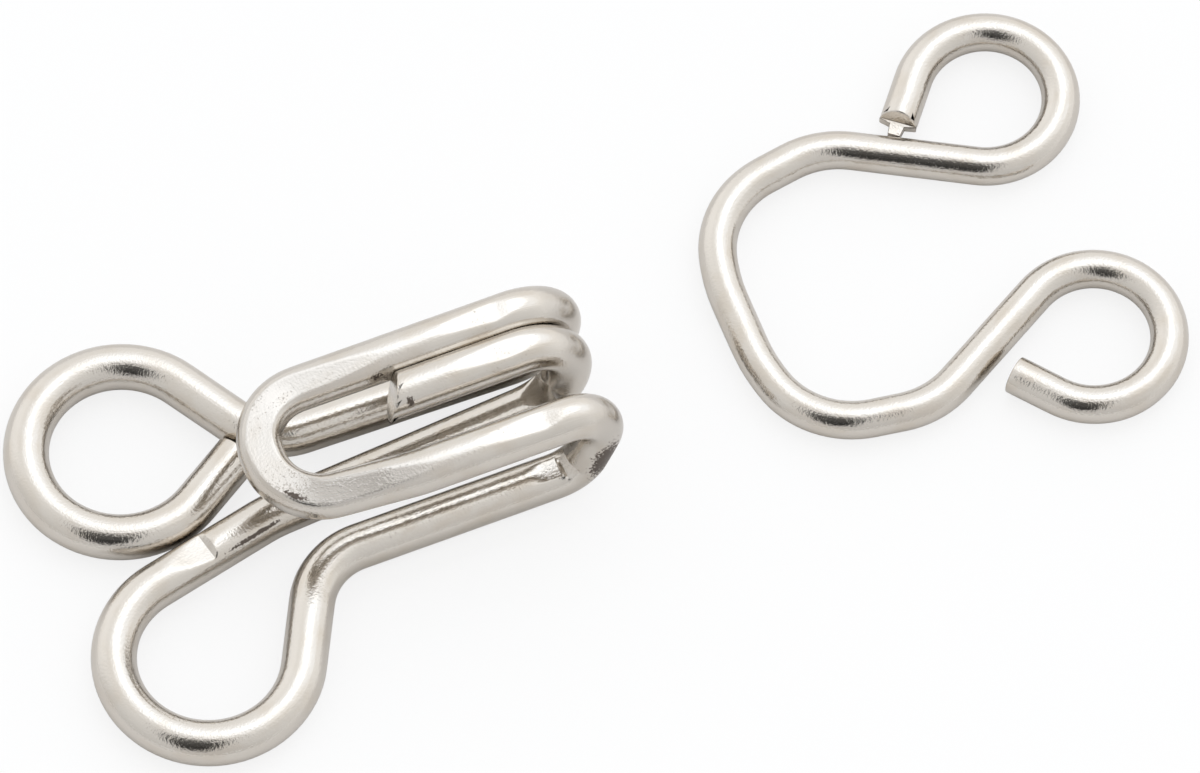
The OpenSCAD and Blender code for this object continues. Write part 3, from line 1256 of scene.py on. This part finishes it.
@dataclass
class Studio:
    """A pale floor, a white tent with soft lights, and the camera."""

    azimuth: float = -21.7
    elevation: float = 63.7
    view_width: float = 26.087
    middle: Triple = (0.144, -0.006, 0.5)
    lens: float = 600.0
    clip_shares: Pair = (0.1, 10.0)
    floor_size: float = 1.2
    floor_drop: float = 0.01
    floor_roughness: float = 0.9
    floor_color: Triple = (0.86, 0.845, 0.83)
    floor_seen_color: Triple = (0.18, 0.18, 0.18)
    floor_glow: float = 0.81
    tent_strength: float = 0.94
    tent_slope: Triple = (0.131, 0.140, 0.173)
    cool_color: Triple = (0.965, 1.0, 1.05)
    cool_span: Pair = (1.15, 1.5)
    lights: tuple[SoftLight, ...] = (
        SoftLight(152.2, 66.9, 16.0, 21.2, 0.35, 0.50),
        SoftLight(140.0, 60.7, 33.8, 31.7, 0.31, 0.28),
        SoftLight(-14.5, 50.0, 17.0, 29.0, 0.2, -0.74),
        SoftLight(-127.6, 5.7, 25.1, 43.1, 0.52, 0.22),
        SoftLight(36.9, 47.0, 45.6, 58.6, 0.41, -0.16),
    )

    def back(self) -> Vector:
        """The direction from the clasp to the camera."""
        return direction(self.azimuth, self.elevation)

    def turned(self, way: Vector) -> Vector:
        """Turns a direction given to the camera's right, away and up into the pair's frame."""
        return Matrix.Rotation(math.radians(self.azimuth), 3, "Z") @ way

    def axes(self, light: SoftLight) -> tuple[Vector, Vector, Vector]:
        """The directions to a soft light, along its width and along its height."""
        to_light, across = direction(light.azimuth, light.elevation), at_angle(light.azimuth)
        return self.turned(to_light), self.turned(across), self.turned(across.cross(to_light))

    def build(self) -> None:
        """Sets up the floor, the light and the camera."""
        self.lay_floor()
        self.light_tent()
        self.set_camera()
        bpy.context.scene.view_settings.view_transform = "Standard"

    def lay_floor(self) -> None:
        """Lays a plain pale floor under the clasp."""
        deselect_all()
        bpy.ops.mesh.primitive_plane_add(size=self.floor_size, location=(0, 0, -self.floor_drop * MM))
        floor = bpy.context.object
        floor.name = "floor"
        paper = bpy.data.materials.new("white_paper")
        paper.use_nodes = True
        nodes = NodeTree(paper.node_tree)
        seen = nodes.add("ShaderNodeLightPath").outputs["Is Camera Ray"]
        shader = nodes.add(
            "ShaderNodeBsdfPrincipled",
            Base_Color=nodes.blend(seen, self.floor_color, self.floor_seen_color),
            Roughness=self.floor_roughness,
            Specular_IOR_Level=0.0,
            Emission_Color=seen,
            Emission_Strength=self.floor_glow,
        )
        nodes.add("ShaderNodeOutputMaterial", Surface=shader.outputs[0])
        floor.data.materials.append(paper)

    def light_tent(self) -> None:
        """Makes the tent: an even glow, brighter at the back, with its soft lights."""
        world = bpy.data.worlds.new("tent")
        world.use_nodes = True
        bpy.context.scene.world = world
        nodes = NodeTree(world.node_tree)
        looked = nodes.add("ShaderNodeTexCoord").outputs["Generated"]

        def facing(way: Vector) -> bpy.types.NodeSocket:
            """Works out how far a ray points one way, from -1 to 1.

            Args:
                way: The direction.

            Returns:
                The result's socket.
            """
            node = nodes.add("ShaderNodeVectorMath", {"operation": "DOT_PRODUCT"})
            nodes.feed(node.inputs[0], looked)
            node.inputs[1].default_value = way
            return node.outputs["Value"]

        slope = self.turned(Vector(self.tent_slope))
        glow = nodes.math("MULTIPLY_ADD", facing(slope.normalized()), slope.length, self.tent_strength)
        for light in self.lights:
            to_light, across, up = self.axes(light)
            wide = nodes.math("DIVIDE", facing(across), math.sin(math.radians(light.half_width)))
            high = nodes.math("DIVIDE", facing(up), math.sin(math.radians(light.half_height)))
            square = nodes.math("MULTIPLY_ADD", wide, wide, nodes.math("MULTIPLY", high, high))
            share = nodes.eased(nodes.math("SQRT", square), 1 + light.edge, 1 - light.edge)
            front = nodes.math("GREATER_THAN", facing(to_light), 0.0)
            lit = nodes.math("MULTIPLY", share, front)
            glow = nodes.math("MULTIPLY_ADD", lit, light.strength, glow)
        cool = nodes.blend(nodes.eased(glow, *self.cool_span), WHITE, self.cool_color)
        sky = nodes.add("ShaderNodeBackground", Color=cool, Strength=glow)
        nodes.add("ShaderNodeOutputWorld", Surface=sky.outputs[0])

    def set_camera(self) -> None:
        """Points a long lens at the clasp from the front and above."""
        data = bpy.data.cameras.new("camera")
        camera = bpy.data.objects.new("camera", data)
        bpy.context.scene.collection.objects.link(camera)
        data.lens = self.lens
        distance = self.view_width * MM * self.lens / data.sensor_width
        data.clip_start, data.clip_end = (distance * share for share in self.clip_shares)
        camera.location = Vector(self.middle) * MM + self.back() * distance
        camera.rotation_mode = "QUATERNION"
        camera.rotation_quaternion = (-self.back()).to_track_quat("-Z", "Y")
        bpy.context.scene.camera = camera


@dataclass
class Clasp:
    """The pair, lying beside each other as they are sold."""

    hook: Hook = field(default_factory=Hook)
    eye: Eye = field(default_factory=Eye)
    apart: float = 2.97
    shift: float = 0.59

    def offsets(self) -> tuple[Vector, Vector]:
        """Finds where the two pieces lie round the middle of the pair's box.

        Returns:
            The places of the hook's own origin and of the top of the eye's arch.
        """
        hook, eye = self.hook, self.eye
        top = hook.bend_reach + hook.far_bend_step + (hook.wire_d + eye.wire_d) / 2 + self.apart
        low_x = -hook.loop_r - hook.wire_d / 2
        high_x = top + eye.reach + eye.loop_r + eye.wire_d / 2
        low_y = min(-hook.half_width, self.shift - eye.half_width)
        high_y = max(hook.half_width, self.shift + eye.half_width)
        middle = Vector(((low_x + high_x) / 2, (low_y + high_y) / 2, 0))
        return -middle, Vector((top, self.shift, 0)) - middle

    def build(self) -> list[bpy.types.Object]:
        """Builds both pieces.

        Returns:
            The finished pieces.
        """
        marks = DrawnMarks().group()
        hook_place, eye_place = self.offsets()
        return [
            self.hook.build(hook_place, NickelPlate("hook_plate").material(marks)),
            self.eye.build(eye_place, NickelPlate("eye_plate", line_depth=0.18).material(marks)),
        ]


def main() -> None:
    """Builds the clasp and its studio, and reports each piece."""
    logging.basicConfig(level=logging.INFO, format="%(name)s: %(message)s")
    Studio().build()
    for piece in Clasp().build():
        log.info("%s: %d faces", piece.name, len(piece.data.polygons))


if __name__ == "__main__":
    main()
